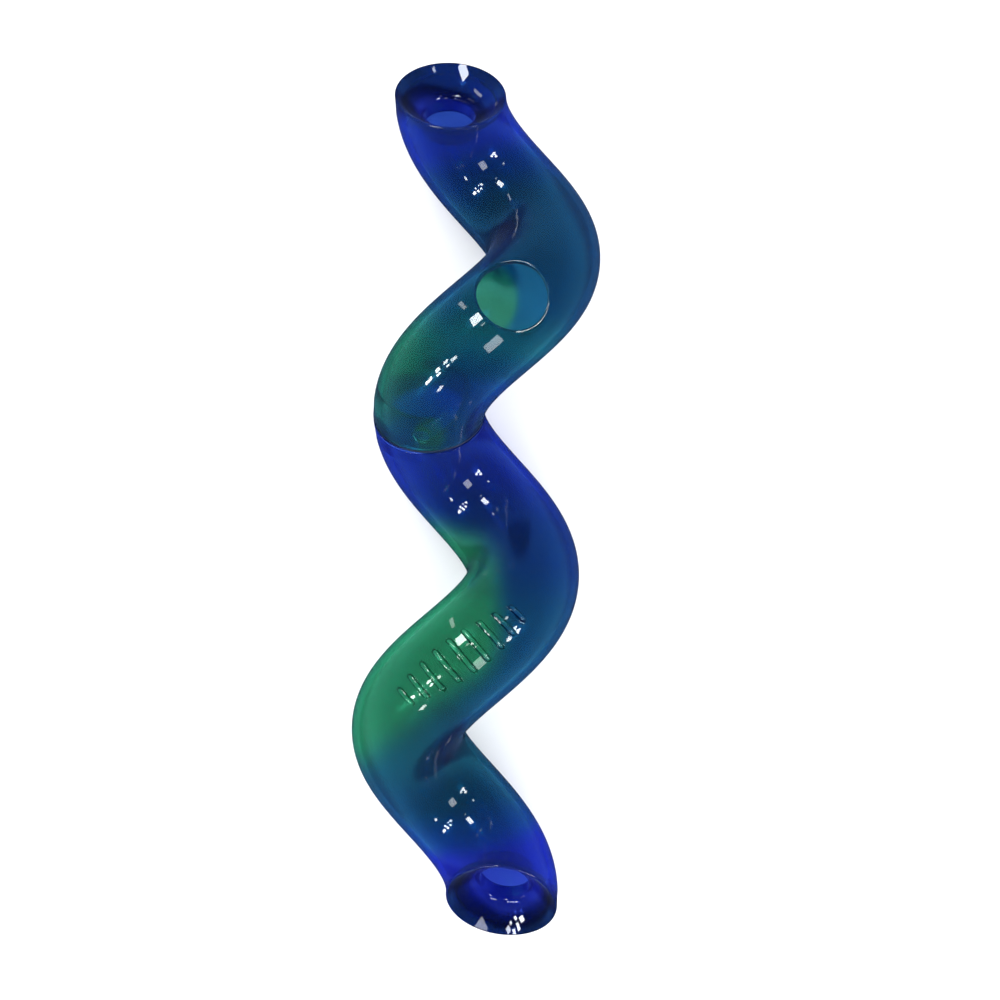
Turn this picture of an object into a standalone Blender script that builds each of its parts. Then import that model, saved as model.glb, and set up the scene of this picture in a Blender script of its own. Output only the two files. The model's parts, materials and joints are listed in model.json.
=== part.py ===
"""Spiral treat tube: a hollow right-handed helix in two lengths that twist apart.

Metres, +Z up. The helix's axis runs along +Y. The tube lies on the three low points of its turns, with the
origin under the middle of its bounding box. Turns are counted along the helix from its middle low point.
"""

import math

import bmesh
import bpy
from mathutils import Vector

# Helical tube
HELIX_RADIUS = 0.01665
PITCH = 0.1012
TUBE_RADIUS = 0.0178
WALL = 0.0024
BORE_RADIUS = TUBE_RADIUS - WALL
TOP_TURN = 1.25
SEAM_TURN = 0.235
BOTTOM_TURN = -1.27

# Mouth: the rounded lip and the funnel fitted inside it
LIP_ROUND = 0.0009
LIP_FLAT = 0.0010
FUNNEL_RADIUS = 0.01495
FUNNEL_SET_BACK = 0.0004
FUNNEL_SKIRT = 0.0030
FUNNEL_DEPTH = 0.0088
FUNNEL_WALL = 0.0016
THROAT_RADIUS = 0.0077
NECK_LENGTH = 0.0045

# Twist coupling at the seam: spigot on the lower tube, socket in the upper one
SPIGOT_LENGTH = 0.0120
SPIGOT_ROOT_RADIUS = 0.01505
SPIGOT_TIP_RADIUS = 0.0139
SPIGOT_WALL = 0.0016
SOCKET_CLEARANCE = 0.00035
SEAL_THICKNESS = 0.0007
SEAL_GAP = 0.00025
SEAL_INSET = 0.0003
LUG_COUNT = 2
LUG_RADIUS = 0.0026
LUG_HEIGHT_UP_SPIGOT = 0.0060
LUG_TIP_RADIUS = 0.0129
LUG_ROOT_RADIUS = 0.0158
SLOT_CLEARANCE = 0.0004
TWIST_RANGE = math.radians(90)
PULL_RANGE = 0.0120

# Side port through the front of the upper tube
PORT_RADIUS = 0.0110
PORT_TURN = 0.559
PORT_LEAN = math.radians(-22.9)

# Raised grip ribs on the lower tube's front strand
RIB_COUNT = 9
RIB_TURNS = 0.195
RIB_MIDDLE_TURN = -0.5
RIB_MIDDLE_LEAN = math.radians(-4)
RIB_LEAN_SPREAD = math.radians(-36)
RIB_WIDTH = 0.0018
RIB_LENGTHS = (0.0070, 0.0135)
RIB_RAISE = 0.0006
RIB_SINK = 0.0008

# Facets
SIDES = 28
STATIONS_PER_TURN = 28
STRAIGHT_MARGIN = 0.0045

TURN_LENGTH = math.hypot(2 * math.pi * HELIX_RADIUS, PITCH)
AXIS_HEIGHT = HELIX_RADIUS + TUBE_RADIUS
MIDDLE_Y = PITCH * (TOP_TURN + BOTTOM_TURN) / 2
RIM_OFFSET = SEAL_THICKNESS + 2 * SEAL_GAP


class Frame:
    """The tube's centre, its direction, and the two directions across it, at one place on the helix."""

    def __init__(self, turn):
        angle = 2 * math.pi * turn
        low, side = math.cos(angle), math.sin(angle)
        around = 2 * math.pi * HELIX_RADIUS
        self.centre = Vector((-HELIX_RADIUS * side, PITCH * turn - MIDDLE_Y, AXIS_HEIGHT - HELIX_RADIUS * low))
        self.along = Vector((-around * low, PITCH, around * side)).normalized()
        self.outward = Vector((-side, 0, -low))
        self.beside = self.along.cross(self.outward)

    def direction(self, angle):
        """A direction across the tube, turned from outward towards beside."""
        return self.outward * math.cos(angle) + self.beside * math.sin(angle)

    def point(self, angle, radius, offset=0.0):
        return self.centre + self.along * offset + self.direction(angle) * radius

    def ring(self, radius, offset=0.0, sides=SIDES):
        return [self.point(2 * math.pi * i / sides, radius, offset) for i in range(sides)]


def clear_scene():
    for thing in list(bpy.data.objects):
        bpy.data.objects.remove(thing, do_unlink=True)


def plastic(name, colour, roughness):
    material = bpy.data.materials.new(name)
    material.use_nodes = True
    shader = material.node_tree.nodes["Principled BSDF"]
    shader.inputs["Base Color"].default_value = (*colour, 1.0)
    shader.inputs["Roughness"].default_value = roughness
    shader.inputs["Metallic"].default_value = 0.0
    return material


def object_from_rings(name, rings, material, closed=True):
    """A skin through a row of equal rings of points. Closed joins the last ring to the first, else both are capped."""
    mesh_maker = bmesh.new()
    rows = [[mesh_maker.verts.new(point) for point in ring] for ring in rings]
    pairs = list(zip(rows, rows[1:]))
    if closed:
        pairs.append((rows[-1], rows[0]))
    for here, there in pairs:
        for i in range(len(here)):
            j = (i + 1) % len(here)
            mesh_maker.faces.new((here[i], here[j], there[j], there[i]))
    if not closed:
        mesh_maker.faces.new(rows[0][::-1])
        mesh_maker.faces.new(rows[-1])
    bmesh.ops.recalc_face_normals(mesh_maker, faces=mesh_maker.faces)
    mesh = bpy.data.meshes.new(name)
    mesh_maker.to_mesh(mesh)
    mesh_maker.free()
    mesh.materials.append(material)
    mesh.shade_smooth()
    mesh.set_sharp_from_angle(angle=math.radians(35))
    thing = bpy.data.objects.new(name, mesh)
    bpy.context.scene.collection.objects.link(thing)
    return thing


def put_origin(thing, place):
    """Moves an object's origin to a place without moving its mesh."""
    for vertex in thing.data.vertices:
        vertex.co -= place
    thing.location = place


def boolean(target, tool, operation):
    """Cuts the tool from the target, or joins it on, and keeps the tool as a hidden guide."""
    tool.hide_render = True
    tool.display_type = "WIRE"
    modifier = target.modifiers.new(f"{operation.lower()}_{tool.name}", "BOOLEAN")
    modifier.operation = operation
    modifier.solver = "EXACT"
    modifier.object = tool


def stations(low_turn, high_turn):
    """The regular stations between two ends, clear of the straight stretch at each end."""
    margin = STRAIGHT_MARGIN / TURN_LENGTH
    first = math.ceil((low_turn + margin) * STATIONS_PER_TURN)
    last = math.floor((high_turn - margin) * STATIONS_PER_TURN)
    return [Frame(count / STATIONS_PER_TURN) for count in range(first, last + 1)]


def lip_rings(end, outwards):
    """Rings from the outer wall over the rounded lip to the bore. outwards is +1 at the top mouth, -1 at the bottom."""
    round_steps = 3
    rings = []
    for step in range(round_steps + 1):
        angle = math.pi / 2 * step / round_steps
        radius = TUBE_RADIUS - LIP_ROUND * (1 - math.cos(angle))
        rings.append(end.ring(radius, -outwards * LIP_ROUND * (1 - math.sin(angle))))
    inner_round = WALL - LIP_ROUND - LIP_FLAT
    rings.append(end.ring(BORE_RADIUS + inner_round))
    rings.append(end.ring(BORE_RADIUS, -outwards * inner_round))
    return rings


def upper_tube(material):
    end, seam = Frame(TOP_TURN), Frame(SEAM_TURN)
    middle = stations(SEAM_TURN, TOP_TURN)
    rings = [seam.ring(BORE_RADIUS, RIM_OFFSET), seam.ring(TUBE_RADIUS, RIM_OFFSET)]
    rings += [station.ring(TUBE_RADIUS) for station in middle]
    rings += lip_rings(end, 1)
    rings += [station.ring(BORE_RADIUS) for station in reversed(middle)]
    tube = object_from_rings("upper_tube", rings, material)
    boolean(tube, socket_cutter(seam, material), "DIFFERENCE")
    boolean(tube, port_cutter(material), "DIFFERENCE")
    for count in range(LUG_COUNT):
        boolean(tube, coupling_lug(seam, count, material), "UNION")
    return tube


def socket_cutter(seam, material):
    """The tapered socket that the spigot enters, along the seam's own straight axis."""
    overrun = 0.002
    depth = SPIGOT_LENGTH + 2 * SOCKET_CLEARANCE
    taper = (SPIGOT_ROOT_RADIUS - SPIGOT_TIP_RADIUS) / SPIGOT_LENGTH
    wide = SPIGOT_ROOT_RADIUS + SOCKET_CLEARANCE
    rings = [seam.ring(wide - taper * offset, offset) for offset in (-overrun, depth)]
    return object_from_rings("socket_cutter", rings, material, closed=False)


def port_cutter(material):
    frame = Frame(PORT_TURN)
    out = frame.direction(PORT_LEAN)
    across = frame.along.cross(out)
    sides = 32
    rings = []
    for distance in (0.006, TUBE_RADIUS + 0.006):
        ring = []
        for i in range(sides):
            angle = 2 * math.pi * i / sides
            spread = frame.along * math.cos(angle) + across * math.sin(angle)
            ring.append(frame.centre + out * distance + spread * PORT_RADIUS)
        rings.append(ring)
    return object_from_rings("port_cutter", rings, material, closed=False)


def lug_angle(count):
    """Where a lug stands round the seam: the first faces up and forward, the others are spaced evenly."""
    return math.pi / 2 + 2 * math.pi * count / LUG_COUNT


def coupling_lug(seam, count, material):
    """A round post standing in from the socket wall."""
    sides = 16
    angle = lug_angle(count)
    out = seam.direction(angle)
    across = seam.along.cross(out)
    rings = []
    for distance in (LUG_TIP_RADIUS, LUG_ROOT_RADIUS):
        middle = seam.centre + seam.along * LUG_HEIGHT_UP_SPIGOT + out * distance
        ring = []
        for i in range(sides):
            turn = 2 * math.pi * i / sides
            ring.append(middle + (across * math.cos(turn) + seam.along * math.sin(turn)) * LUG_RADIUS)
        rings.append(ring)
    return object_from_rings(f"lug_{count + 1}", rings, material, closed=False)


def lower_tube(material):
    end, seam = Frame(BOTTOM_TURN), Frame(SEAM_TURN)
    middle = stations(BOTTOM_TURN, SEAM_TURN)
    rings = lip_rings(end, -1)[::-1]
    rings += [station.ring(TUBE_RADIUS) for station in middle]
    rings += [seam.ring(TUBE_RADIUS), seam.ring(SPIGOT_ROOT_RADIUS), seam.ring(SPIGOT_TIP_RADIUS, SPIGOT_LENGTH)]
    rings += [seam.ring(SPIGOT_TIP_RADIUS - SPIGOT_WALL, SPIGOT_LENGTH), seam.ring(SPIGOT_ROOT_RADIUS - SPIGOT_WALL)]
    rings += [station.ring(BORE_RADIUS) for station in reversed(middle)]
    tube = object_from_rings("lower_tube", rings, material)
    for count in range(LUG_COUNT):
        boolean(tube, slot_cutter(seam, count, material), "DIFFERENCE")
    for count in range(RIB_COUNT):
        boolean(tube, grip_rib(count, material), "UNION")
    return tube


def slot_cutter(seam, count, material):
    """The slanted slot that a lug follows: it climbs the spigot by PULL_RANGE in TWIST_RANGE of turn."""
    lead = PULL_RANGE / TWIST_RANGE
    half_width = LUG_RADIUS + SLOT_CLEARANCE
    mean_radius = (SPIGOT_ROOT_RADIUS + SPIGOT_TIP_RADIUS) / 2
    slope = math.atan2(lead, mean_radius)
    start_turn = -half_width * math.cos(slope) / mean_radius
    end_turn = (SPIGOT_LENGTH + 2 * half_width - LUG_HEIGHT_UP_SPIGOT) / lead
    steps = 14
    rings = []
    for step in range(steps + 1):
        turned = start_turn + (end_turn - start_turn) * step / steps
        angle = lug_angle(count) + turned
        out = seam.direction(angle)
        across = seam.along.cross(out)
        climb = seam.along * math.cos(slope) - across * math.sin(slope)
        middle = seam.centre + seam.along * (LUG_HEIGHT_UP_SPIGOT + lead * turned)
        inner, outer = SPIGOT_TIP_RADIUS - 2 * SPIGOT_WALL, SPIGOT_ROOT_RADIUS + SPIGOT_WALL
        corners = ((inner, -1), (outer, -1), (outer, 1), (inner, 1))
        rings.append([middle + out * radius + climb * half_width * side for radius, side in corners])
    return object_from_rings(f"slot_cutter_{count + 1}", rings, material, closed=False)


def grip_rib(count, material):
    """One raised bar across the strand. The middle bars are the longest."""
    share = count / (RIB_COUNT - 1) - 0.5
    turn = RIB_MIDDLE_TURN + RIB_TURNS * share
    shortest, longest = RIB_LENGTHS
    length = shortest + (longest - shortest) * math.cos(math.pi * share)
    lean = RIB_MIDDLE_LEAN + RIB_LEAN_SPREAD * share
    frame = Frame(turn)
    steps = 6
    rings = []
    for step in range(steps + 1):
        across = step / steps - 0.5
        angle = lean + across * length / TUBE_RADIUS
        raise_by = RIB_RAISE * (1 - (2 * across) ** 4)
        low, high = TUBE_RADIUS - RIB_SINK, TUBE_RADIUS + raise_by
        half = RIB_WIDTH / 2
        corners = ((low, -half), (high, -half / 2), (high, half / 2), (low, half))
        rings.append([frame.point(angle, radius, offset) for radius, offset in corners])
    return object_from_rings(f"rib_{count + 1}", rings, material, closed=False)


def mouth_funnel(name, turn, outwards, material):
    """The dished funnel inside a mouth: a skirt against the bore, a curved dish and a free-hanging neck."""
    end = Frame(turn)
    dish_steps = 6
    dish = []
    for step in range(dish_steps + 1):
        angle = math.pi / 2 * step / dish_steps
        radius = THROAT_RADIUS + (FUNNEL_RADIUS - FUNNEL_WALL / 2 - THROAT_RADIUS) * math.cos(angle)
        dish.append((radius, FUNNEL_SET_BACK + FUNNEL_DEPTH * math.sin(angle) * 0.85))
    neck_end = FUNNEL_SET_BACK + FUNNEL_DEPTH + NECK_LENGTH
    back = [(radius + FUNNEL_WALL * 0.7, depth + FUNNEL_WALL * 0.9) for radius, depth in dish[2:-1]]
    profile = [(FUNNEL_RADIUS, FUNNEL_SET_BACK)]
    profile += dish
    profile += [(THROAT_RADIUS, neck_end), (THROAT_RADIUS + FUNNEL_WALL, neck_end)]
    profile += [(THROAT_RADIUS + FUNNEL_WALL, back[-1][1] + FUNNEL_WALL / 2)]
    profile += back[::-1]
    profile += [(FUNNEL_RADIUS, FUNNEL_SET_BACK + FUNNEL_SKIRT)]
    rings = [end.ring(radius, -outwards * depth) for radius, depth in profile]
    return object_from_rings(name, rings, material)


def joint_seal_ring(material):
    """The flat ring between the lower tube's shoulder and the upper tube's rim."""
    seam = Frame(SEAM_TURN)
    outer = TUBE_RADIUS - SEAL_INSET
    inner = SPIGOT_ROOT_RADIUS + SOCKET_CLEARANCE
    low, high = SEAL_GAP, SEAL_GAP + SEAL_THICKNESS
    rings = [seam.ring(inner, low), seam.ring(outer, low), seam.ring(outer, high), seam.ring(inner, high)]
    return object_from_rings("joint_seal_ring", rings, material)


def build():
    clear_scene()
    seam = Frame(SEAM_TURN)
    top_blue = plastic("upper_tube_plastic", (0.010, 0.085, 0.190), 0.12)
    low_blue = plastic("lower_tube_plastic", (0.010, 0.060, 0.300), 0.12)
    deep_blue = plastic("funnel_plastic", (0.008, 0.022, 0.240), 0.12)
    dark_ring = plastic("seal_rubber", (0.004, 0.012, 0.045), 0.45)
    lower = lower_tube(low_blue)
    bottom_funnel = mouth_funnel("bottom_mouth_funnel", BOTTOM_TURN, -1, deep_blue)
    seal = joint_seal_ring(dark_ring)
    upper = upper_tube(top_blue)
    top_funnel = mouth_funnel("top_mouth_funnel", TOP_TURN, 1, deep_blue)
    for moving in (seal, upper):
        put_origin(moving, seam.centre)
    bpy.context.view_layer.update()
    top_funnel.parent = upper
    top_funnel.matrix_parent_inverse = upper.matrix_world.inverted()
    bottom_funnel.parent = lower


build()
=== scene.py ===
"""Looks of the spiral treat tube: fine meshes of tubes, funnels and seal ring, in tinted clear plastic."""

import json
import math

import bmesh
import bpy
import numpy as np
from mathutils import Matrix, Vector


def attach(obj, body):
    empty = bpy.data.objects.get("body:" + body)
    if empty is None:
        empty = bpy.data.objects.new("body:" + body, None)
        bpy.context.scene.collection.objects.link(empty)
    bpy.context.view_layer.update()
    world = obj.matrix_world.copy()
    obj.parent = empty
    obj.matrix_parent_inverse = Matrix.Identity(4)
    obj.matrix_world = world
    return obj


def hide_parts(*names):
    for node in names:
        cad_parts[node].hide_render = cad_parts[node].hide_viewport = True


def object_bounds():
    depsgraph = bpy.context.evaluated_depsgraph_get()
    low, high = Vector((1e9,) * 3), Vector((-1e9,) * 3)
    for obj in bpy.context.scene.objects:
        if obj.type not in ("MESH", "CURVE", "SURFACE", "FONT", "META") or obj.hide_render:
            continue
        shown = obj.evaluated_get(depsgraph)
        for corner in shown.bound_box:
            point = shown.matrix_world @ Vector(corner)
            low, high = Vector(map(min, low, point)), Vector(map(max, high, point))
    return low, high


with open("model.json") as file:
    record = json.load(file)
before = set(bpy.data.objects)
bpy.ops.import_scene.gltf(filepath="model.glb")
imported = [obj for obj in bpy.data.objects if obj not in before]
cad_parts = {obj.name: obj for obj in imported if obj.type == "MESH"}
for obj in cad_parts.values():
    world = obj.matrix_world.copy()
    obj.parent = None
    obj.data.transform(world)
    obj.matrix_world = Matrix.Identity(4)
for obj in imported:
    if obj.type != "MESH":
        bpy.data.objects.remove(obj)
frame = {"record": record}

cad_low, cad_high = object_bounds()
record = frame["record"]

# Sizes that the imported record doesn't state, in metres, radians and turns of the helix
STRAIGHT_MARGIN = 0.0045
WALL = 0.0024
LIP_ROUND = 0.0006
MOUTH_SET_BACK = 0.00028
SEAM_ROUND = 0.0004
SPIGOT_LENGTH = 0.0120
SPIGOT_ROOT = 0.01505
SPIGOT_TIP = 0.0139
SPIGOT_WALL = 0.0016
SPIGOT_TIP_ROUND = 0.0005
SOCKET_CLEARANCE = 0.00035
SOCKET_OVERRUN = 0.002
RIM_OFFSET = 0.0012
SEAL_LOW, SEAL_HIGH = 0.00025, 0.00095
SEAL_INSET = 0.0003
SEAL_ROUND = 0.0002
LUG_RADIUS = 0.0026
LUG_UP = 0.0060
LUG_IN, LUG_OUT = 0.0129, 0.0158
SLOT_CLEARANCE = 0.0004
PORT_RADIUS = 0.0110
PORT_TURN = 0.559
PORT_LEAN = math.radians(-22.9)
PORT_ROUND = 0.0009
PORT_GAP_MARGIN = 0.0035
DISH_SLOPE = 1.02
DISH_BEND = 29.0  # per metre
FLANGE = 0.0002
FLANGE_GAP = 0.00006
FUNNEL_RADIUS = 0.01512
FUNNEL_WALL = 0.0014
FUNNEL_BACK = FUNNEL_WALL * 1.3
THROAT_RADIUS = 0.0080
THROAT_ROUND = 0.0016
NECK_END = 0.0128
NECK_ROUND = 0.0005
RIB_COUNT = 9
RIB_TURNS = 0.195
RIB_MIDDLE_TURN = -0.5
RIB_MIDDLE_LEAN = math.radians(-4)
RIB_LEAN_SPREAD = math.radians(-36)
RIB_WIDTH = 0.0020
RIB_LENGTHS = (0.0070, 0.0135)
RIB_RAISE = 0.00055

# Ovals of painted shade on the upper side, dark patches standing in for dark refractions in the tube: middle
# x and y, half length, half width, lean, lowest z
PAINTED_SHADE_OVALS = (
    (0.0140, -0.0065, 0.0125, 0.0040, math.radians(-5), 0.040),
    (-0.0057, -0.0805, 0.0120, 0.0045, math.radians(38), 0.034),
    (0.0049, 0.0854, 0.0085, 0.0026, math.radians(31), 0.034),
)

# Mesh fineness
SIDES = 216
STATIONS_PER_TURN = 170
RIB_STATIONS_PER_TURN = 1300
BORE_STATIONS = 240
LUG_SIDES = 28
SLOT_STATIONS = 25
SHARP_EDGE = math.radians(40)


class Helix:
    """The tube's centreline and measures, read from the record's joint and mounts and the model's box."""

    def __init__(self):
        joint = record["behaviour"]["joints"][0]
        place, axis = Vector(joint["pos_m"]), Vector(joint["axis"]).normalized()
        sweep = (cad_high.x - cad_low.x) / 2
        self.axis_height = cad_low.z + sweep
        self.radius = math.hypot(place.x, place.z - self.axis_height)
        self.tube_radius = sweep - self.radius
        self.pitch = 2 * math.pi * self.radius * axis.y / math.hypot(axis.x, axis.z)
        self.turn_length = math.hypot(2 * math.pi * self.radius, self.pitch)
        angle = math.atan2(-place.x, self.axis_height - place.z)
        self.seam_turn = angle / (2 * math.pi)
        self.middle_y = self.pitch * self.seam_turn - place.y
        mounts = {mount["name"]: mount for mount in record["mounts"]}
        self.top_turn = self.turn_at(mounts["top_mouth_rim"], 1)
        self.bottom_turn = self.turn_at(mounts["bottom_mouth_rim"], -1)

    def turn_at(self, mount, outwards):
        """The turn where a mouth's plane lies: its part from the plane's normal, its whole from its place."""
        normal = Vector(mount["axis"]) * outwards
        part = math.atan2(normal.z, -normal.x) / (2 * math.pi)
        whole = round((mount["pos_m"][1] + self.middle_y) / self.pitch - part)
        return part + whole

    def frames(self, turns):
        """Centres, directions along, outward and beside, one row for each turn."""
        turns = np.atleast_1d(np.asarray(turns, float))
        angle = 2 * np.pi * turns
        low, side, nought = np.cos(angle), np.sin(angle), np.zeros_like(angle)
        centre = np.stack([-self.radius * side, self.pitch * turns - self.middle_y,
                           self.axis_height - self.radius * low], -1)
        around = 2 * math.pi * self.radius
        along = np.stack([-around * low, nought + self.pitch, around * side], -1)
        along /= np.linalg.norm(along, axis=-1, keepdims=True)
        outward = np.stack([-side, nought, -low], -1)
        return centre, along, outward, np.cross(along, outward)

    def points(self, turns, angles, radius, offset=0.0):
        """Points round the tube; turns, angles and radius broadcast together."""
        turns, angles = np.broadcast_arrays(turns, angles)
        centre, along, outward, beside = self.frames(turns.ravel())
        spread = outward * np.cos(angles.ravel())[:, None] + beside * np.sin(angles.ravel())[:, None]
        reach = np.broadcast_to(radius, turns.shape).reshape(-1, 1)
        return (centre + along * offset + spread * reach).reshape(*turns.shape, 3)

    def distances(self, points):
        """How far each point is from the tube's centreline."""
        samples = np.linspace(self.bottom_turn - 0.1, self.top_turn + 0.1, 200)
        centres = self.frames(samples)[0]
        turns = np.empty(len(points))
        for start in range(0, len(points), 10000):
            part = points[start:start + 10000]
            turns[start:start + 10000] = samples[((part[:, None] - centres[None]) ** 2).sum(-1).argmin(1)]
        for _ in range(4):
            centre, along, outward, _ = self.frames(turns)
            gap = points - centre
            bend = 1 + (gap * outward).sum(-1) * 4 * math.pi ** 2 * self.radius / self.turn_length ** 2
            turns += (gap * along).sum(-1) / bend / self.turn_length
        return np.linalg.norm(points - self.frames(turns)[0], axis=-1)


helix = Helix()
BORE = helix.tube_radius - WALL
DISH_EDGE = helix.tube_radius - LIP_ROUND
ANGLES = 2 * np.pi * np.arange(SIDES) / SIDES


# ---------------------------------------------------------------- meshes

class Skin:
    """Points and faces gathered from rings of equal length."""

    def __init__(self):
        self.points, self.faces, self.count = [], [], 0

    def ring(self, points):
        self.points.append(points)
        self.count += len(points)
        return np.arange(self.count - len(points), self.count)

    def bridge(self, here, there, gap=()):
        """Quads between two rings, leaving out the columns of a gap."""
        nexts = np.roll(np.arange(len(here)), -1)
        quads = np.stack([here, here[nexts], there[nexts], there], -1)
        self.faces.append(np.delete(quads, np.asarray(gap, int), axis=0))

    def make(self, name):
        mesh = bpy.data.meshes.new(name)
        points = np.concatenate(self.points)
        faces = np.concatenate(self.faces)
        mesh.from_pydata(points.tolist(), [], faces.tolist())
        mesh.validate()
        mesh.update()
        thing = bpy.data.objects.new(name, mesh)
        bpy.context.scene.collection.objects.link(thing)
        return thing


def arc(start, corner, end, steps):
    """Points on a rounded corner: a quadratic curve from start to end that bends at corner."""
    share = np.linspace(0, 1, steps + 1)[:, None]
    start, corner, end = (np.asarray(p, float) for p in (start, corner, end))
    return start * (1 - share) ** 2 + 2 * corner * share * (1 - share) + end * share ** 2


def turned(turn, profile, outwards=1):
    """Rings round the tube's direction at one turn, from a profile of (radius, depth) below the end."""
    turns = np.full(SIDES, turn)
    return [helix.points(turns, ANGLES, radius, -outwards * depth) for radius, depth in profile]


def dish_depth(radius):
    """How deep the mouth's dished surface lies inside the mouth's plane."""
    inwards = DISH_EDGE - radius
    return MOUTH_SET_BACK + DISH_SLOPE * inwards - DISH_BEND * inwards ** 2


def dish_line(start, end, count, below=0.0):
    """Points along the dish's slope from one radius to another, or on a line below it."""
    return np.array([(radius, dish_depth(radius) + below) for radius in np.linspace(start, end, count)])


def lip_profile():
    """The mouth's lip: rounded at the outer wall, then a sloping seat for the funnel's thin flange."""
    outer = helix.tube_radius
    over = arc((outer, MOUTH_SET_BACK + LIP_ROUND), (outer, MOUTH_SET_BACK),
               (DISH_EDGE, MOUTH_SET_BACK), 8)
    return np.concatenate([over, dish_line(DISH_EDGE, BORE, 6, FLANGE + FLANGE_GAP)])


def station_turns(low, high, rib=False):
    """Turns of the regular rings, closer together under the ribs."""
    if not rib:
        return np.linspace(low, high, int(round((high - low) * STATIONS_PER_TURN)) + 1)
    half = RIB_TURNS / 2 + 0.012
    parts, edges = [], (low, RIB_MIDDLE_TURN - half, RIB_MIDDLE_TURN + half, high)
    for index, (start, end) in enumerate(zip(edges, edges[1:])):
        density = RIB_STATIONS_PER_TURN if index == 1 else STATIONS_PER_TURN
        count = int(round((end - start) * density))
        parts.append(np.linspace(start, end, count, endpoint=index == 2))
    return np.concatenate(parts)


def rib_height(turns, angles):
    """How far the grip ribs raise the surface: plain bars across the strand, the middle ones longest."""
    height = np.zeros(np.broadcast(turns, angles).shape)
    angles = (angles + np.pi) % (2 * np.pi) - np.pi
    for count in range(RIB_COUNT):
        share = count / (RIB_COUNT - 1) - 0.5
        turn = RIB_MIDDLE_TURN + RIB_TURNS * share
        shortest, longest = RIB_LENGTHS
        half = (shortest + (longest - shortest) * math.cos(math.pi * share)) / 2
        lean = RIB_MIDDLE_LEAN + RIB_LEAN_SPREAD * share
        across = (angles - lean) * helix.tube_radius
        stretch = helix.turn_length * (1 + helix.tube_radius * np.cos(angles) * 4 * math.pi ** 2
                                       * helix.radius / helix.turn_length ** 2)
        along = (turns - turn) * stretch
        past_end = np.maximum(np.abs(across) - (half - RIB_WIDTH / 2), 0)
        away = np.hypot(along, past_end) / (RIB_WIDTH / 2)
        height = np.maximum(height, RIB_RAISE * np.clip(1 - away ** 2, 0, 1) ** 0.8)
    return height


def port_places(radius, spokes, tube_radius):
    """Turns and angles where a circle round the port's axis meets the tube, one for each spoke."""
    centre, along, outward, beside = (part[0] for part in helix.frames(PORT_TURN))
    out = outward * math.cos(PORT_LEAN) + beside * math.sin(PORT_LEAN)
    across = np.cross(along, out)
    aim = radius * np.stack([np.cos(spokes), np.sin(spokes)], -1)
    turns = PORT_TURN + aim[:, 0] / helix.turn_length
    angles = PORT_LEAN + aim[:, 1] / tube_radius

    def miss(turns, angles):
        gap = helix.points(turns, angles, tube_radius) - centre
        return np.stack([gap @ along, gap @ across], -1) - aim

    tiny = 1e-5
    for _ in range(25):
        now = miss(turns, angles)
        by_turn = (miss(turns + tiny, angles) - now) / tiny
        by_angle = (miss(turns, angles + tiny) - now) / tiny
        slope = np.stack([by_turn, by_angle], -1)
        step = np.linalg.solve(slope, now[..., None])[..., 0]
        turns, angles = turns - 0.8 * step[:, 0], angles - 0.8 * step[:, 1]
    return turns, angles


def port_loops(block_turns, block_angles):
    """Rings from the outer skin's gap, round the port's edge and through the wall, to the inner skin's gap.

    block_turns and block_angles are the gap's border, point by point."""
    centre, along, outward, beside = (part[0] for part in helix.frames(PORT_TURN))
    out = outward * math.cos(PORT_LEAN) + beside * math.sin(PORT_LEAN)
    across = np.cross(along, out)
    gap = helix.points(block_turns, block_angles, helix.tube_radius) - centre
    spokes = np.arctan2(gap @ across, gap @ along)
    loops = []
    for tube_radius, inwards in ((helix.tube_radius, -1), (BORE, 1)):
        wide_turns, wide_angles = port_places(PORT_RADIUS + PORT_ROUND, spokes, tube_radius)
        turns, angles = port_places(PORT_RADIUS, spokes, tube_radius)
        blend = np.linspace(0, 1, 9)[1:, None]
        ring_turns = block_turns * (1 - blend) + wide_turns * blend
        ring_angles = block_angles * (1 - blend) + wide_angles * blend
        side = [helix.points(t, a, tube_radius) for t, a in zip(ring_turns, ring_angles)]
        wide, sharp = side[-1], helix.points(turns, angles, tube_radius)
        side += list(arc_rings(wide, sharp, sharp + out * inwards * PORT_ROUND, 5))
        loops.append(side)
    return loops[0] + loops[1][::-1]


def arc_rings(start, corner, end, steps):
    """Rings on a rounded edge, as arc makes points, without the first."""
    for share in np.linspace(0, 1, steps + 1)[1:]:
        yield start * (1 - share) ** 2 + 2 * corner * share * (1 - share) + end * share ** 2


def boolean(target, tool, operation):
    """Adds a cut or a join, which settle applies."""
    modifier = target.modifiers.new(operation.lower(), "BOOLEAN")
    modifier.operation, modifier.solver, modifier.object = operation, "EXACT", tool


def settle(thing, *tools):
    """Applies the modifiers, removes their tools, shades the mesh smooth and marks its places."""
    if thing.modifiers:
        bpy.context.view_layer.update()
        made = thing.evaluated_get(bpy.context.evaluated_depsgraph_get())
        mesh = bpy.data.meshes.new_from_object(made)
        thing.modifiers.clear()
        thing.data = mesh
    for tool in tools:
        bpy.data.objects.remove(tool)
    thing.data.shade_smooth()
    thing.data.set_sharp_from_angle(angle=SHARP_EDGE)
    mark_places(thing)
    return thing


def smooth(low, high, values):
    """Runs from 0 at low to 1 at high with soft ends. With low above high it falls instead."""
    share = np.clip((values - low) / (high - low), 0, 1)
    return share * share * (3 - 2 * share)


def store(thing, name, values):
    """Writes one value for each point, which a material reads by name."""
    layer = thing.data.attributes.get(name) or thing.data.attributes.new(name, "FLOAT", "POINT")
    layer.data.foreach_set("value", values.astype(np.float32))


def points_of(thing):
    points = np.empty(len(thing.data.vertices) * 3, np.float32)
    thing.data.vertices.foreach_get("co", points)
    return points.reshape(-1, 3).astype(float)


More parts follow.
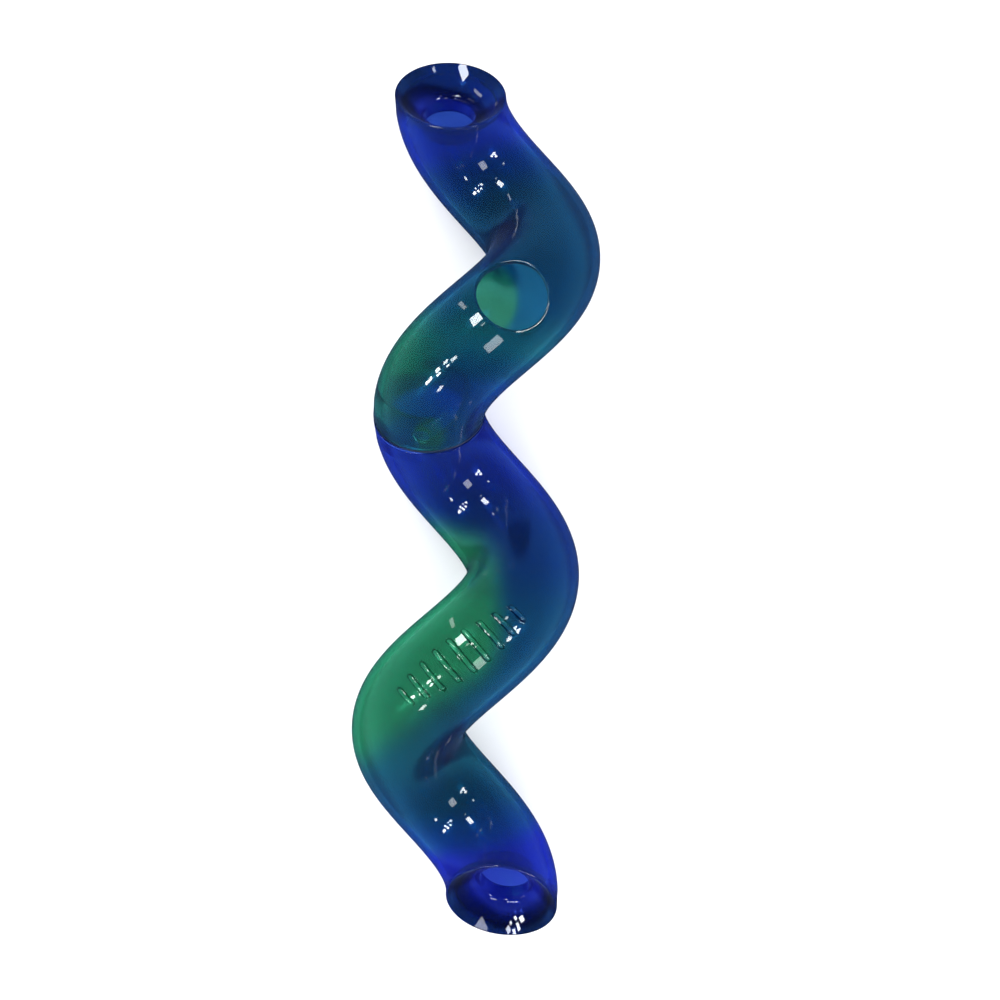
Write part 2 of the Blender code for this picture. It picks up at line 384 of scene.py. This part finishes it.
def mark_places(thing):
    """Stores what the plastic looks like at each point.

    That is its place along the object's length, how green it is, how much painted shade darkens it, how high
    a rib stands, and whether the point is on the duller wall inside."""
    points = points_of(thing)
    x, y, z = points.T
    distance = helix.distances(points)
    store(thing, "rib", np.clip((distance - helix.tube_radius) / RIB_RAISE, 0, 1))
    store(thing, "inner", (distance < BORE + WALL / 4) * float("tube" in thing.name))
    if "lower" in thing.name:
        left_side = smooth(-0.007, 0.009, 0.0095 - 0.12 * (y + 0.023) - x)
        above_fold = smooth(-0.014, 0.012, y - (-0.059 + 0.88 * x))
        below_blue = smooth(0.004, 0.020, -y - 0.2 * x)
        green = left_side * above_fold * below_blue
    else:
        left_bend = 0.8 * smooth(0.036, 0.010, np.hypot(x + 0.038, (y - 0.042) * 0.9))
        from_window = np.hypot(x + 0.0158, y - 0.0180)
        above_seam = 0.7 * smooth(0.0075, 0.0030, from_window) * smooth(0.034, 0.038, z)
        from_patch = np.hypot(np.maximum(x - 0.0009, 0) / 0.0076, (y - 0.0628) / 0.0112)
        behind_port = 0.9 * smooth(1.3, 0.75, from_patch)
        behind_port *= smooth(-0.018, -0.006, x) * smooth(0.050, 0.044, z)
        green = np.maximum(np.maximum(left_bend, above_seam), behind_port)
    slant = 0.35 * smooth(0.05, 0.10, np.abs(y))
    store(thing, "length", y - slant * x)
    store(thing, "green", green)
    # Painted shade: ovals that darken the colour where the tube shows dark refractions
    store(thing, "shade", sum(pigment_swirl_and_painted_shade(x, y, z, *place) for place in PAINTED_SHADE_OVALS))


def pigment_swirl_and_painted_shade(x, y, z, middle_x, middle_y, length, width, lean, low_z):
    """An oval of painted shade: 1 in its middle, 0 outside it and below low_z."""
    along = (y - middle_y) * math.cos(lean) + (x - middle_x) * math.sin(lean)
    across = (x - middle_x) * math.cos(lean) - (y - middle_y) * math.sin(lean)
    oval = smooth(1.15, 0.75, np.hypot(along / length, across / width))
    return oval * smooth(low_z, low_z + 0.004, z)


def closed_tool(name, rings):
    """A closed cutter or post from rings of points, capped at both ends.

    Its faces are turned outwards, because a Boolean does nothing with a tool that is inside out."""
    points = np.concatenate(rings)
    side = len(rings[0])
    faces = []
    for row in range(len(rings) - 1):
        for i in range(side):
            j = (i + 1) % side
            here, there = row * side, (row + 1) * side
            faces.append([here + i, here + j, there + j, there + i])
    faces.append(list(range(side))[::-1])
    faces.append([(len(rings) - 1) * side + i for i in range(side)])
    mesh = bpy.data.meshes.new(name)
    mesh.from_pydata(points.tolist(), [], faces)
    solid = bmesh.new()
    solid.from_mesh(mesh)
    bmesh.ops.recalc_face_normals(solid, faces=solid.faces)
    solid.to_mesh(mesh)
    solid.free()
    thing = bpy.data.objects.new(name, mesh)
    bpy.context.scene.collection.objects.link(thing)
    return thing


def seam_directions(angle):
    """The seam's centre and its directions along, out at an angle, and across."""
    centre, along, outward, beside = (part[0] for part in helix.frames(helix.seam_turn))
    out = outward * math.cos(angle) + beside * math.sin(angle)
    return centre, along, out, np.cross(along, out)


def lug_angles():
    """Where the two lugs stand round the seam."""
    return math.pi / 2, math.pi * 3 / 2


def lug(angle):
    """A round post with a softened tip, standing in from the socket wall."""
    centre, along, out, across = seam_directions(angle)
    spokes = 2 * np.pi * np.arange(LUG_SIDES) / LUG_SIDES
    flat = across * np.cos(spokes)[:, None] + along * np.sin(spokes)[:, None]
    rings = []
    for radius, distance in (
        (LUG_RADIUS - 0.0004, LUG_IN),
        (LUG_RADIUS - 0.0001, LUG_IN + 0.0001),
        (LUG_RADIUS, LUG_IN + 0.0004),
        (LUG_RADIUS, LUG_OUT),
    ):
        rings.append(centre + along * LUG_UP + out * distance + flat * radius)
    return closed_tool("lug", rings)


def slot_tool(angle):
    """The slanted slot that a lug follows."""
    joints = record["behaviour"]["joints"]
    lead = joints[1]["range_m"][1] / math.radians(joints[0]["range_deg"][1])
    half_width = LUG_RADIUS + SLOT_CLEARANCE
    mean_radius = (SPIGOT_ROOT + SPIGOT_TIP) / 2
    slope = math.atan2(lead, mean_radius)
    start = -half_width * math.cos(slope) / mean_radius
    end = (SPIGOT_LENGTH + 2 * half_width - LUG_UP) / lead
    rings = []
    for turned_by in np.linspace(start, end, SLOT_STATIONS):
        centre, along, out, across = seam_directions(angle + turned_by)
        climb = along * math.cos(slope) - across * math.sin(slope)
        middle = centre + along * (LUG_UP + lead * turned_by)
        inner, outer = SPIGOT_TIP - 2 * SPIGOT_WALL, SPIGOT_ROOT + SPIGOT_WALL
        corners = ((inner, -1), (outer, -1), (outer, 1), (inner, 1))
        ring = [middle + out * radius + climb * half_width * side for radius, side in corners]
        rings.append(np.array(ring))
    return closed_tool("slot", rings)


def upper_tube():
    """The upper tube's skin, with a gap in its columns of faces that the port's edge fills."""
    margin = STRAIGHT_MARGIN / helix.turn_length
    turns = station_turns(helix.seam_turn + margin, helix.top_turn - margin)
    outer = helix.points(turns[:, None], ANGLES[None], helix.tube_radius)
    inner = helix.points(turns[:, None], ANGLES[None], BORE)
    reach = (PORT_RADIUS + PORT_GAP_MARGIN) / helix.turn_length
    first, last = np.searchsorted(turns, [PORT_TURN - reach * 0.75, PORT_TURN + reach * 0.75])
    middle_column = int(round(PORT_LEAN / (2 * math.pi) * SIDES)) + SIDES
    half_columns = int(round(0.23 * SIDES / 2)) + 3
    columns = np.arange(middle_column - half_columns, middle_column + half_columns + 1)
    skin = Skin()
    rim = [(BORE, -RIM_OFFSET - SEAM_ROUND), (BORE + SEAM_ROUND / 2, -RIM_OFFSET)]
    rim_corner = (helix.tube_radius, -RIM_OFFSET)
    rim += list(arc((helix.tube_radius - SEAM_ROUND, -RIM_OFFSET), rim_corner,
                    (helix.tube_radius, -RIM_OFFSET - SEAM_ROUND), 5))
    rings = turned(helix.seam_turn, rim)
    start_outer = len(rings)
    rings += list(outer)
    rings += turned(helix.top_turn, lip_profile())
    start_inner = len(rings)
    rings += list(inner[::-1])
    made = [skin.ring(ring) for ring in rings]
    for index, here in enumerate(made):
        there = made[(index + 1) % len(made)]
        row = index - start_outer
        row_inner = len(turns) - 2 - (index - start_inner)
        in_outer = first <= row < last and index < start_outer + len(turns) - 1
        in_inner = index >= start_inner and first <= row_inner < last
        inside = (row >= 0 and in_outer) or in_inner
        skin.bridge(here, there, columns[:-1] % SIDES if inside else ())
    rows = np.arange(first, last + 1)
    border = [(rows[0], c) for c in columns[:-1]] + [(r, columns[-1]) for r in rows[:-1]]
    border += [(rows[-1], c) for c in columns[:0:-1]] + [(r, columns[0]) for r in rows[:0:-1]]
    border_rows = np.array([b[0] for b in border])
    border_columns = np.array([b[1] for b in border])
    angle_of = 2 * np.pi * (border_columns - SIDES) / SIDES
    loops = port_loops(turns[border_rows], angle_of)
    outer_border = np.array([made[start_outer + r][c % SIDES] for r, c in border])
    inner_border = np.array([made[start_inner + len(turns) - 1 - r][c % SIDES] for r, c in border])
    chain = [outer_border] + [skin.ring(loop) for loop in loops] + [inner_border]
    for here, there in zip(chain, chain[1:]):
        skin.bridge(here, there)
    tube = skin.make("upper_tube_shell")
    return finish_upper(tube)


def finish_upper(tube):
    """Cuts the tapered socket and adds the lugs."""
    wide = SPIGOT_ROOT + SOCKET_CLEARANCE
    taper = (SPIGOT_ROOT - SPIGOT_TIP) / SPIGOT_LENGTH
    depth = SPIGOT_LENGTH + 2 * SOCKET_CLEARANCE
    profile = [(wide - taper * s, -s) for s in (-SOCKET_OVERRUN, depth)]
    socket = closed_tool("socket", turned(helix.seam_turn, profile))
    lugs = [lug(angle) for angle in lug_angles()]
    boolean(tube, socket, "DIFFERENCE")
    for post in lugs:
        boolean(tube, post, "UNION")
    return settle(tube, socket, *lugs)


def lower_tube():
    """The lower tube's skin with its ribs and spigot, and the slots cut in it."""
    margin = STRAIGHT_MARGIN / helix.turn_length
    turns = station_turns(helix.bottom_turn + margin, helix.seam_turn - margin, rib=True)
    raised = helix.tube_radius + rib_height(turns[:, None], ANGLES[None])
    outer = helix.points(turns[:, None], ANGLES[None], raised)
    bore_turns = np.linspace(turns[0], turns[-1], BORE_STATIONS)
    inner = helix.points(bore_turns[:, None], ANGLES[None], BORE)
    skin = Skin()
    end, inner_tip = -SPIGOT_LENGTH, SPIGOT_TIP - SPIGOT_WALL
    shoulder = arc((helix.tube_radius, SEAM_ROUND), (helix.tube_radius, 0),
                   (helix.tube_radius - SEAM_ROUND, 0), 5)
    root = arc((SPIGOT_ROOT + SEAM_ROUND, 0), (SPIGOT_ROOT, 0), (SPIGOT_ROOT, -SEAM_ROUND / 2), 4)
    tip = arc(
        (SPIGOT_TIP, end + SPIGOT_TIP_ROUND), (SPIGOT_TIP, end), (SPIGOT_TIP - SPIGOT_TIP_ROUND, end), 5)
    inside = arc(
        (inner_tip + SPIGOT_TIP_ROUND, end), (inner_tip, end), (inner_tip, end + SPIGOT_TIP_ROUND), 5)
    profile = np.concatenate([shoulder, root, tip, inside, [(SPIGOT_ROOT - SPIGOT_WALL, 0.0)]])
    rings = turned(helix.bottom_turn, lip_profile()[::-1], -1)
    rings += list(outer)
    rings += turned(helix.seam_turn, profile)
    rings += list(inner[::-1])
    made = [skin.ring(ring) for ring in rings]
    for index, here in enumerate(made):
        skin.bridge(here, made[(index + 1) % len(made)])
    tube = skin.make("lower_tube_shell")
    slots = [slot_tool(angle) for angle in lug_angles()]
    for slot in slots:
        boolean(tube, slot, "DIFFERENCE")
    return settle(tube, *slots)


def funnel(name, turn, outwards):
    """The dished funnel: a thin flange over the lip, a curved slope, and a neck with a rounded edge."""
    throat_depth = dish_depth(THROAT_RADIUS)
    outside = THROAT_RADIUS + FUNNEL_WALL
    edge = DISH_EDGE - FLANGE_GAP
    slope = dish_line(edge, THROAT_RADIUS + THROAT_ROUND, 28)
    bend = arc(slope[-1], (THROAT_RADIUS, throat_depth), (THROAT_RADIUS, throat_depth + THROAT_ROUND), 8)
    neck = arc((THROAT_RADIUS, NECK_END - NECK_ROUND), (THROAT_RADIUS, NECK_END),
               (THROAT_RADIUS + NECK_ROUND, NECK_END), 5)
    neck_out = arc((outside - NECK_ROUND, NECK_END), (outside, NECK_END),
                   (outside, NECK_END - NECK_ROUND), 5)
    back = dish_line(outside + THROAT_ROUND, FUNNEL_RADIUS - NECK_ROUND, 14, FUNNEL_BACK)
    back_bend = arc(
        (outside, back[0][1] + THROAT_ROUND), (outside, dish_depth(outside) + FUNNEL_BACK), back[0], 6)
    low_side = back[-1][1]
    side = arc(
        back[-1], (FUNNEL_RADIUS, low_side - NECK_ROUND / 2), (FUNNEL_RADIUS, low_side - NECK_ROUND), 4)
    flange = dish_line(FUNNEL_RADIUS, edge, 8, FLANGE)
    profile = np.concatenate([slope, bend[1:], neck, neck_out, back_bend[:-1], back[:-1], side, flange])
    skin = Skin()
    made = [skin.ring(ring) for ring in turned(turn, profile, outwards)]
    for index, here in enumerate(made):
        skin.bridge(here, made[(index + 1) % len(made)])
    thing = skin.make(name)
    if outwards < 0:
        thing.data.flip_normals()
    settle(thing)
    centre, along, _, _ = (part[0] for part in helix.frames(turn))
    store(thing, "length", (centre - points_of(thing)) @ along * outwards)
    return thing


def seal_ring():
    """The thin ring between the lower tube's shoulder and the upper tube's rim."""
    outer, inner, soft = helix.tube_radius - SEAL_INSET, SPIGOT_ROOT + SOCKET_CLEARANCE, SEAL_ROUND
    profile = [(inner, -SEAL_HIGH), (inner, -SEAL_LOW), (outer - soft, -SEAL_LOW), (outer, -SEAL_LOW - soft),
               (outer, -SEAL_HIGH + soft), (outer - soft, -SEAL_HIGH)]
    skin = Skin()
    made = [skin.ring(ring) for ring in turned(helix.seam_turn, profile)]
    for index, here in enumerate(made):
        skin.bridge(here, made[(index + 1) % len(made)])
    return settle(skin.make("seal_ring_band"))


# ---------------------------------------------------------------- materials

# How the colour drifts along a tube, as pigment does that wasn't stirred in
DRIFT_SCALE = 22.0
DRIFT_DETAIL = 2.5
DRIFT_DISTORTION = 0.6
LENGTH_DRIFT = 0.012
GREEN_DRIFT = 0.35
# The tint that the painted shade ovals multiply the colour by
PAINTED_SHADE_TINT = (0.15, 0.40, 0.55)

# Grey levels by a rib's height: painted shade on its sides and a painted highlight on its crest, standing in
# for light the ribs bend. The lift brings the plain tube back to full colour.
RIB_GREYS = ((0.0, 0.70), (0.08, 0.16), (0.55, 0.22), (0.85, 0.92))
RIB_LIFT = 1.429

# Grey levels by how far a face turns from view. The first scales the tint: slightly darker where a face looks
# straight at the view and lighter in a band towards the edges, painted light standing in for light coming
# through the edges. The second says where the tint is applied twice, standing in for the depth of plastic
# that is seen at the edges.
MIDDLE_GREYS = ((0.0, 0.82), (0.12, 0.84), (0.46, 1.08))
EDGE_GREYS = ((0.44, 0.0), (0.58, 1.0))

CLEARNESS = 0.9
OUTER_ROUGHNESS = 0.035
INNER_ROUGHNESS = 0.16
PLASTIC_IOR = 1.45
SHEEN = 0.09
SHEEN_ROUGHNESS = 0.5
SHEEN_TINT = (0.30, 0.42, 0.85)


def nodes_of(name):
    """A new material with its node tree and its shader."""
    material = bpy.data.materials.new(name)
    material.use_nodes = True
    tree = material.node_tree
    return material, tree, tree.nodes["Principled BSDF"]


def add(tree, kind, **settings):
    """A new node with its properties set."""
    node = tree.nodes.new(kind)
    for key, value in settings.items():
        setattr(node, key, value)
    return node


def feed(tree, socket, value):
    """Links a socket to another one, or sets its number or colour."""
    if isinstance(value, bpy.types.NodeSocket):
        tree.links.new(value, socket)
    else:
        socket.default_value = value if isinstance(value, float) else (*value, 1.0)


def mixed(tree, factor, first, second, blend="MIX"):
    """A colour mix node. factor, first and second are sockets, numbers or colours."""
    node = add(tree, "ShaderNodeMix", data_type="RGBA", blend_type=blend)
    feed(tree, node.inputs[0], factor)
    feed(tree, node.inputs[6], first)
    feed(tree, node.inputs[7], second)
    return node.outputs[2]


def math_node(tree, operation, *values):
    """A maths node. The values are sockets or numbers."""
    node = add(tree, "ShaderNodeMath", operation=operation)
    for socket, value in zip(node.inputs, values):
        feed(tree, socket, value)
    return node.outputs[0]


def greys(levels):
    """Colour stops from (value, grey level) pairs."""
    return [(at, (level,) * 3) for at, level in levels]


def colour_ramp(tree, factor, stops):
    """A ramp over any range of the factor, from (value, colour) stops."""
    low, high = stops[0][0], stops[-1][0]
    span = add(tree, "ShaderNodeMapRange")
    span.inputs["From Min"].default_value = low
    span.inputs["From Max"].default_value = high
    tree.links.new(factor, span.inputs["Value"])
    ramp = add(tree, "ShaderNodeValToRGB")
    ramp.color_ramp.interpolation = "EASE"
    for index, (at, colour) in enumerate(stops):
        place_at = (at - low) / (high - low)
        if index < 2:
            element = ramp.color_ramp.elements[index]
            element.position = place_at
        else:
            element = ramp.color_ramp.elements.new(place_at)
        element.color = (*colour, 1.0)
    tree.links.new(span.outputs["Result"], ramp.inputs["Fac"])
    return ramp.outputs["Color"]


def clear_plastic(name, stops, green=None, ribs=False):
    """Tinted clear plastic. Its colour runs along the object's length, green where a green part is stored."""
    material, tree, shader = nodes_of(name)
    link = tree.links.new
    place = add(tree, "ShaderNodeTexCoord")
    pigment_swirl_and_painted_shade = add(tree, "ShaderNodeTexNoise", noise_dimensions="3D")
    pigment_swirl_and_painted_shade.inputs["Scale"].default_value = DRIFT_SCALE
    pigment_swirl_and_painted_shade.inputs["Detail"].default_value = DRIFT_DETAIL
    pigment_swirl_and_painted_shade.inputs["Distortion"].default_value = DRIFT_DISTORTION
    link(place.outputs["Object"], pigment_swirl_and_painted_shade.inputs["Vector"])
    drift = math_node(tree, "SUBTRACT", pigment_swirl_and_painted_shade.outputs["Fac"], 0.5)
    length = add(tree, "ShaderNodeAttribute", attribute_name="length")
    along = math_node(tree, "MULTIPLY_ADD", drift, LENGTH_DRIFT, length.outputs["Fac"])
    colour = colour_ramp(tree, along, stops)
    if green:
        share = add(tree, "ShaderNodeAttribute", attribute_name="green")
        moved = math_node(tree, "MULTIPLY_ADD", drift, GREEN_DRIFT, share.outputs["Fac"])
        soft = add(tree, "ShaderNodeMapRange", interpolation_type="SMOOTHSTEP")
        link(moved, soft.inputs["Value"])
        colour = mixed(tree, soft.outputs["Result"], colour, green)
    # Painted shade: the colour darkens towards the shade tint inside the stored ovals
    painted_shade = add(tree, "ShaderNodeAttribute", attribute_name="shade")
    painted_shade_colour = mixed(tree, 1.0, colour, PAINTED_SHADE_TINT, "MULTIPLY")
    colour = mixed(tree, painted_shade.outputs["Fac"], colour, painted_shade_colour)
    if ribs:
        # Painted shade on the ribs' sides and a painted highlight on their crests
        rib = add(tree, "ShaderNodeAttribute", attribute_name="rib")
        rib_shade_and_highlight = colour_ramp(tree, rib.outputs["Fac"], greys(RIB_GREYS))
        colour = mixed(tree, 1.0, colour, rib_shade_and_highlight, "MULTIPLY")
        colour = mixed(tree, 1.0, colour, (RIB_LIFT,) * 3, "MULTIPLY")
    # Painted light: the first facing ramp lightens a band towards the edges
    facing = add(tree, "ShaderNodeLayerWeight")
    facing.inputs["Blend"].default_value = 0.5
    tilt = facing.outputs["Facing"]
    middle = colour_ramp(tree, tilt, greys(MIDDLE_GREYS))
    edge = colour_ramp(tree, tilt, greys(EDGE_GREYS))
    once = mixed(tree, 1.0, colour, middle, "MULTIPLY")
    twice = mixed(tree, 1.0, once, once, "MULTIPLY")
    link(mixed(tree, edge, once, twice), shader.inputs["Base Color"])
    shader.inputs["Transmission Weight"].default_value = CLEARNESS
    inner = add(tree, "ShaderNodeAttribute", attribute_name="inner")
    roughness = math_node(tree, "MULTIPLY_ADD", inner.outputs["Fac"], INNER_ROUGHNESS, OUTER_ROUGHNESS)
    link(roughness, shader.inputs["Roughness"])
    shader.inputs["IOR"].default_value = PLASTIC_IOR
    shader.inputs["Sheen Weight"].default_value = SHEEN
    shader.inputs["Sheen Roughness"].default_value = SHEEN_ROUGHNESS
    shader.inputs["Sheen Tint"].default_value = (*SHEEN_TINT, 1)
    light = add(tree, "ShaderNodeLightPath")
    clear = add(tree, "ShaderNodeBsdfTransparent")
    link(colour, clear.inputs["Color"])
    mix = add(tree, "ShaderNodeMixShader")
    link(light.outputs["Is Shadow Ray"], mix.inputs["Fac"])
    link(shader.outputs[0], mix.inputs[1])
    link(clear.outputs[0], mix.inputs[2])
    link(mix.outputs[0], tree.nodes["Material Output"].inputs["Surface"])
    return material


def seal_rubber():
    """Dark blue satin rubber with a fine grain."""
    material, tree, shader = nodes_of("seal_rubber_blue")
    link = tree.links.new
    grain = add(tree, "ShaderNodeTexNoise")
    grain.inputs["Scale"].default_value = 900.0
    ramp = add(tree, "ShaderNodeValToRGB")
    ramp.color_ramp.elements[0].color = (0.003, 0.010, 0.040, 1)
    ramp.color_ramp.elements[1].color = (0.006, 0.018, 0.070, 1)
    link(grain.outputs["Fac"], ramp.inputs["Fac"])
    link(ramp.outputs["Color"], shader.inputs["Base Color"])
    shader.inputs["Roughness"].default_value = 0.4
    return material


def paint(thing, material):
    thing.data.materials.clear()
    thing.data.materials.append(material)


# ---------------------------------------------------------------- stage

FLOOR_HALF = 6.0
FLOOR_DROP = 0.0002
FLOOR_COLOUR = (0.94, 0.94, 0.94)
FLOOR_ROUGHNESS = 0.9
SKY_COLOUR = (0.95, 0.97, 1.0)
SKY_STRENGTH = 2.1

# Softboxes that make the highlights: direction from the object, width, height and radiance.
# Many directions came from a scratch script that worked out reflections from where the photo's
# highlights lie. The task doesn't allow such a table: see report.md.
SOFTBOX_DISTANCE = 0.95
SOFTBOXES = (
    ((0.36, -0.35, 0.87), 0.22, 0.30, 7.5),
    ((0.77, 0.01, 0.64), 0.10, 0.12, 26.0),
    ((0.69, 0.10, 0.71), 0.10, 0.10, 26.0),
    ((0.70, -0.06, 0.71), 0.08, 0.10, 26.0),
    ((-0.33, -0.33, 0.88), 0.09, 0.09, 20.0),
    ((-0.47, -0.32, 0.82), 0.07, 0.07, 32.0),
    ((-0.55, -0.40, 0.73), 0.10, 0.07, 36.0),
    ((-0.61, -0.51, 0.60), 0.08, 0.12, 36.0),
    ((-0.48, -0.50, 0.72), 0.06, 0.06, 36.0),
    ((-0.38, -0.42, 0.82), 0.05, 0.05, 30.0),
    ((-0.27, -0.76, 0.59), 0.08, 0.08, 20.0),
    ((-0.30, 0.38, 0.87), 0.15, 0.27, 24.0),
    ((-0.62, 0.70, 0.35), 0.04, 0.34, 6.0),
    ((-0.10, 0.20, 0.97), 0.05, 0.05, 8.0),
    ((0.43, 0.42, 0.80), 0.07, 0.07, 12.0),
)

# The camera looks almost straight down on the tube. Its place and directions come from a scratch
# script that fitted a helix and a camera to the photo's outline: see report.md.
SENSOR_WIDTH = 36.0
LENS = 84.4
CAMERA_X, CAMERA_Y, CAMERA_RISE = 0.0077, -0.0081, 0.7453
CAMERA_BACK = (0.0, -0.0102, 0.9999)
CAMERA_UP = (-0.0671, 0.9977, 0.0102)


def studio():
    """A pale floor, a plain sky and the softboxes."""
    floor_mesh = bpy.data.meshes.new("floor")
    size = FLOOR_HALF
    corners = [(-size, -size, 0), (size, -size, 0), (size, size, 0), (-size, size, 0)]
    floor_mesh.from_pydata(corners, [], [(0, 1, 2, 3)])
    floor = bpy.data.objects.new("floor", floor_mesh)
    bpy.context.scene.collection.objects.link(floor)
    floor.location.z = cad_low.z - FLOOR_DROP
    material, _, shader = nodes_of("pale_floor")
    shader.inputs["Base Color"].default_value = (*FLOOR_COLOUR, 1)
    shader.inputs["Roughness"].default_value = FLOOR_ROUGHNESS
    floor.data.materials.append(material)
    floor.visible_glossy = False
    world = bpy.data.worlds.new("studio")
    bpy.context.scene.world = world
    world.use_nodes = True
    sky = world.node_tree.nodes["Background"]
    sky.inputs["Color"].default_value = (*SKY_COLOUR, 1)
    sky.inputs["Strength"].default_value = SKY_STRENGTH
    world.cycles_visibility.glossy = False
    world.cycles_visibility.transmission = False
    centre = Vector((0, 0, helix.axis_height))
    for direction, width, height, radiance in SOFTBOXES:
        lamp = bpy.data.lights.new("softbox", "AREA")
        lamp.shape, lamp.size, lamp.size_y = "RECTANGLE", width, height
        lamp.energy = radiance * math.pi * width * height
        thing = bpy.data.objects.new("softbox", lamp)
        bpy.context.scene.collection.objects.link(thing)
        away = Vector(direction).normalized()
        thing.location = centre + away * SOFTBOX_DISTANCE
        thing.rotation_euler = away.to_track_quat("Z", "Y").to_euler()
        thing.visible_camera = False
        thing.visible_diffuse = False


def camera():
    """The camera, and the view transform that keeps the colours as they are."""
    data = bpy.data.cameras.new("camera")
    data.sensor_width = SENSOR_WIDTH
    data.lens = LENS
    thing = bpy.data.objects.new("camera", data)
    bpy.context.scene.collection.objects.link(thing)
    back = Vector(CAMERA_BACK).normalized()
    up = Vector(CAMERA_UP).normalized()
    right = up.cross(back).normalized()
    up = back.cross(right)
    turn = Matrix((right, up, back)).transposed().to_4x4()
    place = Matrix.Translation((CAMERA_X, CAMERA_Y, helix.axis_height + CAMERA_RISE))
    thing.matrix_world = place @ turn
    data.clip_start, data.clip_end = 0.05, 20
    bpy.context.scene.camera = thing
    bpy.context.scene.view_settings.view_transform = "Standard"


# ---------------------------------------------------------------- build

# The plastic's colours. The lists of stops below say where on a piece's "length" attribute each lies.
NAVY = (0.014, 0.048, 0.26)
DEEP_BLUE = (0.018, 0.118, 0.39)
MID_BLUE = (0.036, 0.100, 0.55)
BRIGHT_BLUE = (0.040, 0.082, 0.62)
SLATE_BLUE = (0.024, 0.160, 0.46)
TEAL_BLUE = (0.018, 0.160, 0.315)
LIGHT_TEAL_BLUE = (0.024, 0.182, 0.350)
TEAL = (0.026, 0.245, 0.335)
DARK_GREEN = (0.050, 0.330, 0.210)
GREEN = (0.078, 0.450, 0.270)

upper = upper_tube()
lower = lower_tube()
top_funnel = funnel("top_funnel_dish", helix.top_turn, 1)
bottom_funnel = funnel("bottom_funnel_dish", helix.bottom_turn, -1)
seal = seal_ring()

upper_plastic = clear_plastic("upper_clear_plastic", [
    (0.006, MID_BLUE), (0.014, LIGHT_TEAL_BLUE), (0.022, LIGHT_TEAL_BLUE), (0.028, SLATE_BLUE),
    (0.032, SLATE_BLUE), (0.038, TEAL_BLUE), (0.047, TEAL), (0.062, TEAL_BLUE), (0.092, TEAL_BLUE),
    (0.106, DEEP_BLUE), (0.116, MID_BLUE), (0.128, MID_BLUE), (0.142, NAVY)], DARK_GREEN)
lower_plastic = clear_plastic("lower_clear_plastic", [
    (-0.142, NAVY), (-0.130, BRIGHT_BLUE), (-0.116, BRIGHT_BLUE), (-0.108, SLATE_BLUE),
    (-0.098, LIGHT_TEAL_BLUE), (-0.078, TEAL), (-0.062, LIGHT_TEAL_BLUE), (-0.040, LIGHT_TEAL_BLUE),
    (-0.016, DEEP_BLUE), (0.010, MID_BLUE), (0.040, MID_BLUE)], GREEN, ribs=True)
# The funnel's colours by depth in the mouth: darker partway down, painted shade inside the mouth, and lighter
# blue at the neck, painted light
blue_plastic = clear_plastic("funnel_clear_plastic", [
    (0.0, (0.030, 0.120, 0.46)), (0.0030, (0.022, 0.095, 0.38)), (0.0046, (0.008, 0.022, 0.12)),
    (0.0062, (0.010, 0.024, 0.16)), (0.0080, (0.050, 0.090, 0.55)), (0.013, (0.050, 0.090, 0.55))])
rubber = seal_rubber()

for thing, material, body, node, slot in (
    (upper, upper_plastic, "upper_half", "upper_tube", "upper_plastic"),
    (lower, lower_plastic, "lower_half", "lower_tube", "lower_plastic"),
    (top_funnel, blue_plastic, "upper_half", "top_mouth_funnel", "funnel_plastic"),
    (bottom_funnel, blue_plastic, "lower_half", "bottom_mouth_funnel", "funnel_plastic"),
    (seal, rubber, "seal_ring", "joint_seal_ring", "seal_rubber"),
):
    paint(thing, material)
    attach(thing, body)
    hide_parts(node)

studio()
camera()
